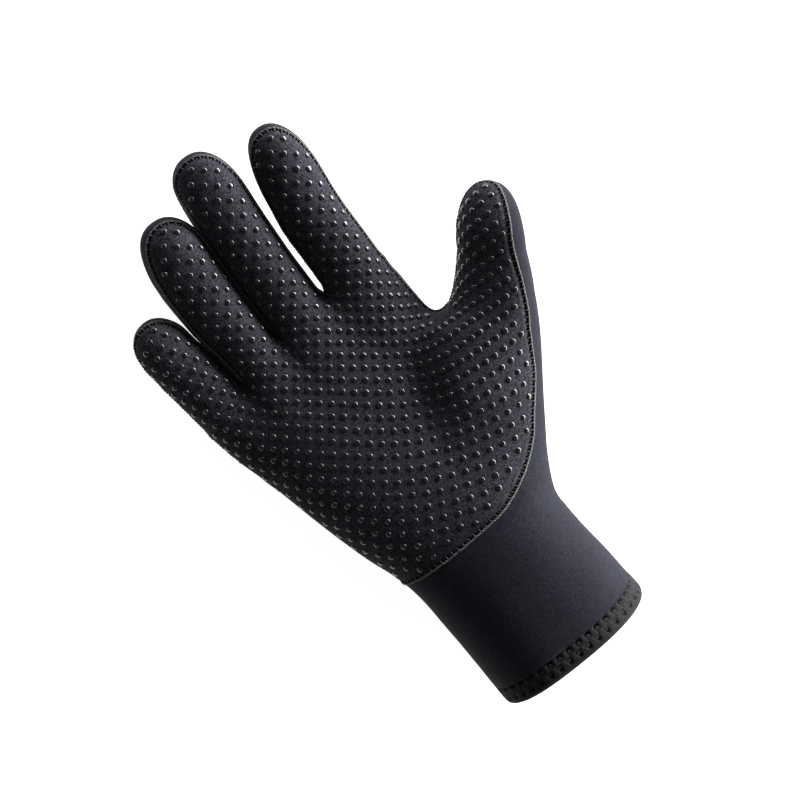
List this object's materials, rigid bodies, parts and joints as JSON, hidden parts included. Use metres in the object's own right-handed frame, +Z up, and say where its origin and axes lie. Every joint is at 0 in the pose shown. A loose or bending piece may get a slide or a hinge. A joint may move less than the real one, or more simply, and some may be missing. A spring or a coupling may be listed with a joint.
{
  "type": "diving glove",
  "caption": "Right-hand diving glove of thick foamed rubber cloth, with a grip-dotted palm panel, a smooth back and gauntlet, and an open hemmed cuff.",
  "frame": {"origin": "on the flattened back of the hand, below the middle of the palm, at the level the glove lies on", "axes": "+Z up, out of the palm; +Y from the cuff towards the fingertips; +X towards the thumb"},
  "size_m": [0.1555, 0.2527, 0.0528],
  "materials": {
    "dotted_cloth": "fine charcoal knit over foamed rubber, with glossy black rubber dots",
    "smooth_cloth": "smooth bluish charcoal nylon over foamed rubber",
    "hem_cloth": "dull dark grey nylon, folded and stitched"
  },
  "bodies": {
    "root": {"palm_panel": "dotted_cloth", "back_panel": "smooth_cloth", "cuff_hem": "hem_cloth"}
  },
  "joints": []
}
